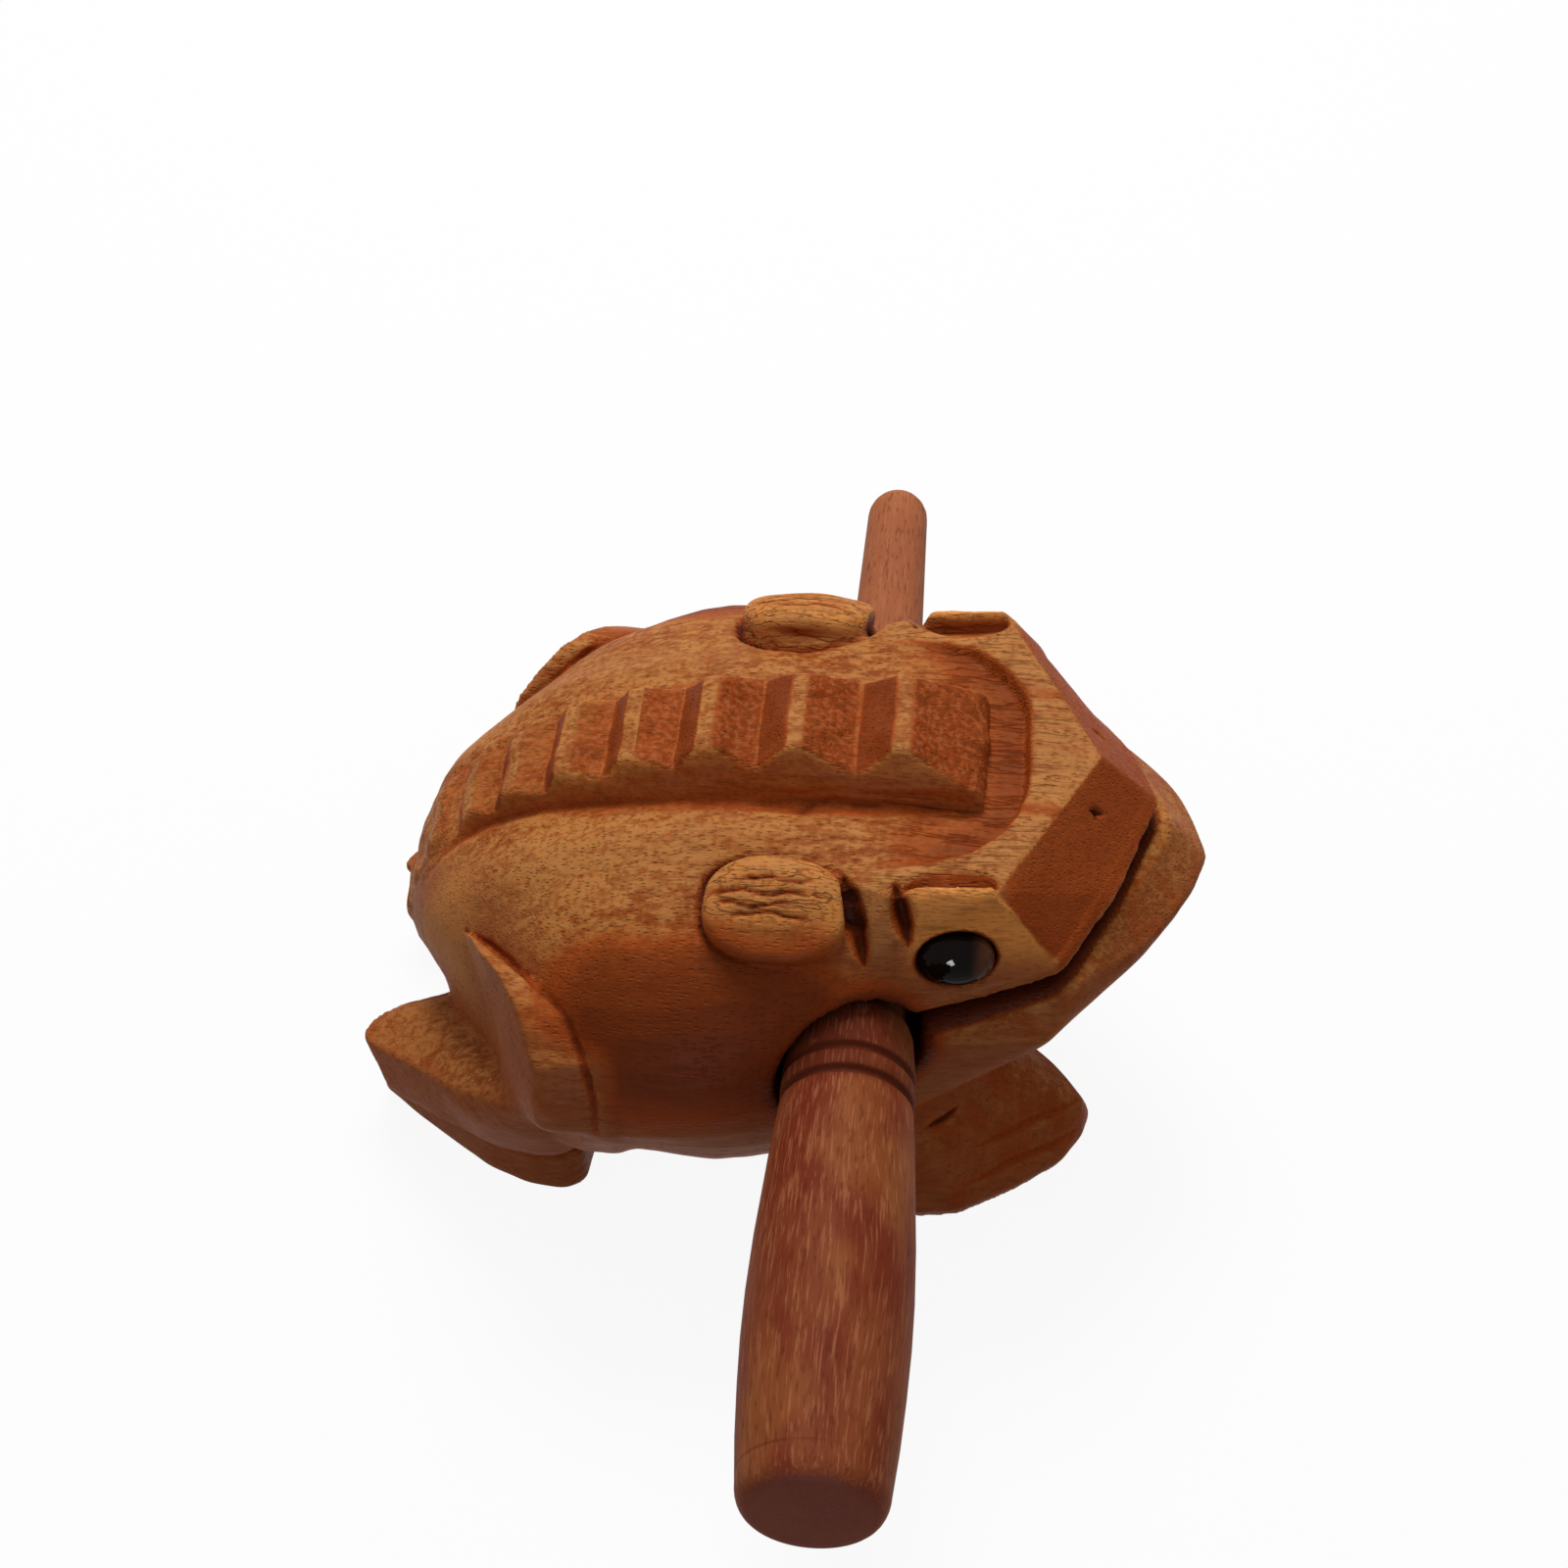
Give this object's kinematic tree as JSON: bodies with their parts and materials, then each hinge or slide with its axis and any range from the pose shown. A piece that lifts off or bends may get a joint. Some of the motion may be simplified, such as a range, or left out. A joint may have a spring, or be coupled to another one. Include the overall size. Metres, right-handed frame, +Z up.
{
  "type": "frog guiro",
  "caption": "Carved wooden frog with a toothed ridge down its back and a turned stick kept in a bore through its body, rubbed along the ridge to croak.",
  "frame": {"origin": "on the floor under the flat belly, in the plane of symmetry, about the middle of the frog's length", "axes": "+X towards the nose, +Y to the frog's left and along the stick towards its tip, +Z up"},
  "size_m": [0.1054, 0.162, 0.0615],
  "materials": {
    "carved_wood": "carved, stained and oiled",
    "turned_wood": "turned, stained and oiled",
    "dark_glass": "opaque dark bead, polished"
  },
  "bodies": {
    "frog": {"frog_body": "carved_wood", "right_eye": "dark_glass", "left_eye": "dark_glass"},
    "stick": {"striker_stick": "turned_wood"}
  },
  "joints": [
    {"name": "stick_slide", "type": "slide", "parent": "frog", "child": "stick", "axis": [0, -1, 0], "range_m": [0, 0.108]}
  ]
}
